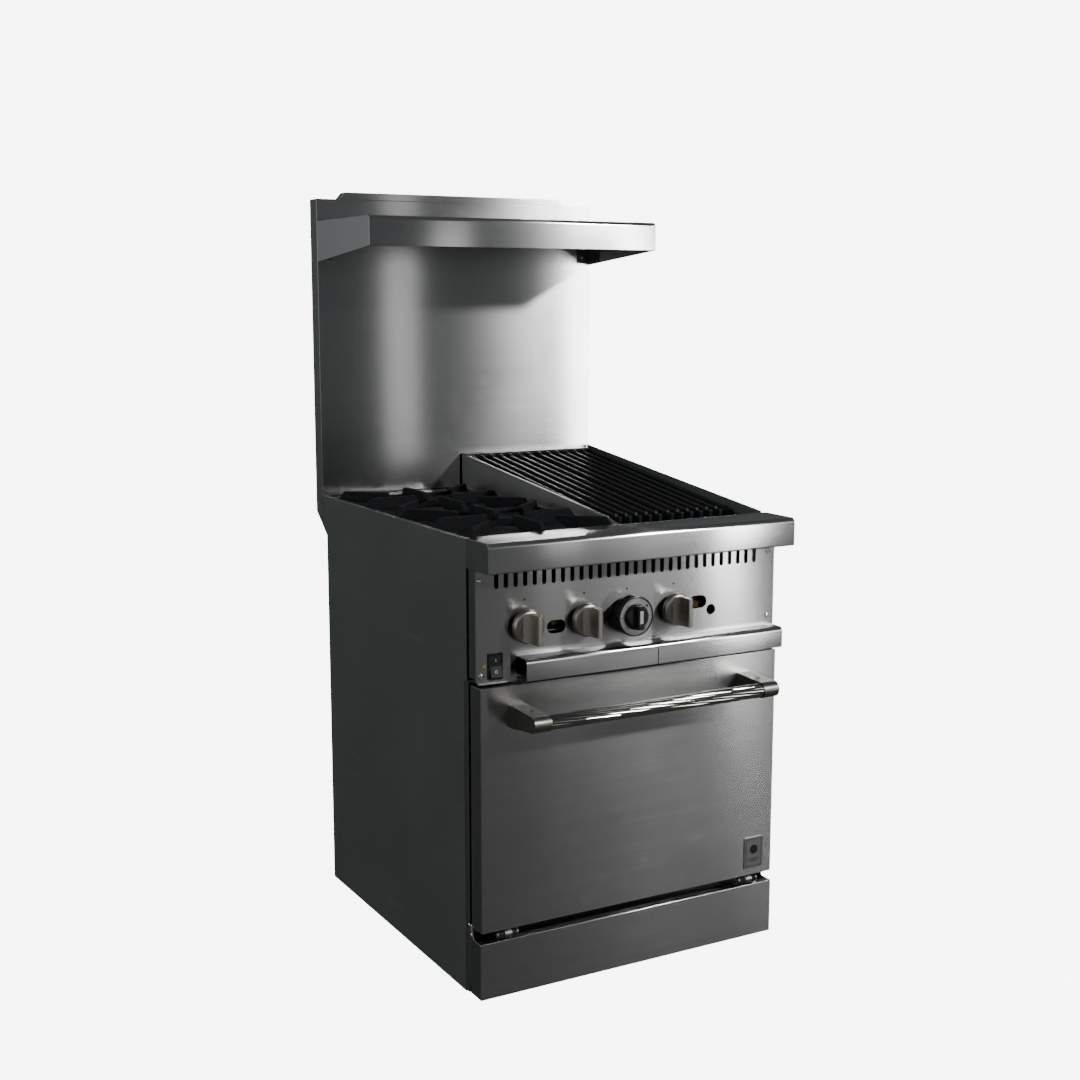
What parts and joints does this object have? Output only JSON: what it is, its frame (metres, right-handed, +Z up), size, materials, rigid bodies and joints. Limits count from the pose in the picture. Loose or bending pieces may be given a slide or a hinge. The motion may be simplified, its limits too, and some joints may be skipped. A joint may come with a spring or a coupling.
{
  "type": "commercial gas range",
  "caption": "Narrow commercial gas range with open burners, an inclined radiant broiler, an oven with a drop-down door, and a backguard with a high shelf.",
  "frame": {"origin": "centre of the bounding box, on the plane that the cabinet stands on", "axes": "+X to the right seen from the front, +Y to the back, +Z up; the controls and door face -Y"},
  "size_m": [0.61, 0.791, 1.37],
  "materials": {
    "stainless": "number 4 grain, horizontal",
    "handle_steel": "satin, with a fine spiral grip",
    "badge": "satin, engraved border",
    "dark_paint": "satin grey-green powder coat",
    "galvanised": "galvanised",
    "enamel": "dark porcelain enamel",
    "grate_iron": "matt black, rough cast",
    "burner_iron": "rough cast",
    "black_pipe": "black iron pipe",
    "brass": "machined",
    "steel": "pressed",
    "wire_chrome": "bright nickel wire",
    "mineral_wool": "matt fibre",
    "gasket_braid": "woven glass braid",
    "knob_metal": "satin die cast",
    "dial_black": "satin black with a silver ring",
    "switch_black": "gloss black",
    "amber": "translucent amber lens",
    "gland_black": "matt black"
  },
  "bodies": {
    "cabinet": {"side_panel_left": "dark_paint", "side_panel_right": "dark_paint", "back_panel": "galvanised", "base_frame": "galvanised", "front_frame": "stainless", "oven_liner": "enamel", "oven_insulation": "mineral_wool", "oven_floor": "enamel", "rack_guides": "wire_chrome", "oven_burner": "burner_iron", "oven_flue": "galvanised", "cooktop_deck": "stainless", "top_burners": "burner_iron", "burner_caps": "burner_iron", "pilot_lines": "brass", "gas_manifold": "black_pipe", "gas_valves": "brass", "oven_thermostat": "steel", "gas_feed_pipe": "black_pipe", "broiler_left_panel": "stainless", "broiler_right_panel": "dark_paint", "broiler_firebox": "enamel", "broiler_burners": "burner_iron", "broiler_radiants": "grate_iron", "landing_ledge": "stainless", "control_panel": "stainless", "sheet_screws": "stainless", "power_light": "amber", "rocker_housing": "switch_black", "tray_rails": "galvanised", "backguard_front": "stainless", "backguard_shell": "dark_paint", "flue_cap": "stainless", "high_shelf": "stainless", "shelf_brackets": "dark_paint", "hinge_brackets": "galvanised", "hinge_springs": "galvanised", "kick_plate": "stainless", "cord_gland": "gland_black"},
    "oven_door": {"door_skin": "stainless", "door_liner": "enamel", "door_insulation": "mineral_wool", "door_gasket": "gasket_braid", "door_handle": "handle_steel", "handle_brackets": "handle_steel", "badge_plate": "badge", "hinge_arms": "galvanised"},
    "front_burner_knob": {"knob_front": "knob_metal"},
    "rear_burner_knob": {"knob_rear": "knob_metal"},
    "broiler_knob": {"knob_broiler": "knob_metal"},
    "oven_dial": {"thermostat_knob": "dial_black"},
    "power_rocker": {"rocker": "switch_black"},
    "crumb_drawer": {"crumb_tray": "stainless"},
    "drip_drawer": {"drip_tray": "stainless"},
    "front_burner_grate": {"burner_grate_front": "grate_iron"},
    "rear_burner_grate": {"burner_grate_rear": "grate_iron"},
    "left_broiler_grate": {"broiler_grate_left": "grate_iron"},
    "right_broiler_grate": {"broiler_grate_right": "grate_iron"},
    "sliding_rack": {"oven_rack": "wire_chrome"}
  },
  "joints": [
    {"name": "door_hinge", "type": "hinge", "parent": "cabinet", "child": "oven_door", "pos_m": [0, -0.3065, 0.11], "axis": [1, 0, 0], "range_deg": [0, 90]},
    {"name": "front_burner_turn", "type": "hinge", "parent": "cabinet", "child": "front_burner_knob", "pos_m": [-0.211, -0.3005, 0.634], "axis": [0, -1, 0], "range_deg": [0, 90]},
    {"name": "rear_burner_turn", "type": "hinge", "parent": "cabinet", "child": "rear_burner_knob", "pos_m": [-0.097, -0.3005, 0.634], "axis": [0, -1, 0], "range_deg": [0, 90]},
    {"name": "broiler_turn", "type": "hinge", "parent": "cabinet", "child": "broiler_knob", "pos_m": [0.084, -0.3005, 0.634], "axis": [0, -1, 0], "range_deg": [0, 90]},
    {"name": "oven_dial_turn", "type": "hinge", "parent": "cabinet", "child": "oven_dial", "pos_m": [-0.012, -0.3005, 0.634], "axis": [0, -1, 0], "range_deg": [0, 300]},
    {"name": "rocker_tilt", "type": "hinge", "parent": "cabinet", "child": "power_rocker", "pos_m": [-0.2666, -0.2975, 0.5715], "axis": [1, 0, 0], "range_deg": [0, 12]},
    {"name": "crumb_drawer_slide", "type": "slide", "parent": "cabinet", "child": "crumb_drawer", "axis": [0, -1, 0], "range_m": [0, 0.45]},
    {"name": "drip_drawer_slide", "type": "slide", "parent": "cabinet", "child": "drip_drawer", "axis": [0, -1, 0], "range_m": [0, 0.45]},
    {"name": "front_burner_grate_lift", "type": "slide", "parent": "cabinet", "child": "front_burner_grate", "axis": [0, 0, 1], "range_m": [0, 0.15]},
    {"name": "rear_burner_grate_lift", "type": "slide", "parent": "cabinet", "child": "rear_burner_grate", "axis": [0, 0, 1], "range_m": [0, 0.15]},
    {"name": "left_broiler_grate_lift", "type": "slide", "parent": "cabinet", "child": "left_broiler_grate", "axis": [0, 0, 1], "range_m": [0, 0.15]},
    {"name": "right_broiler_grate_lift", "type": "slide", "parent": "cabinet", "child": "right_broiler_grate", "axis": [0, 0, 1], "range_m": [0, 0.15]},
    {"name": "rack_slide", "type": "slide", "parent": "cabinet", "child": "sliding_rack", "axis": [0, -1, 0], "range_m": [0, 0.012]}
  ]
}
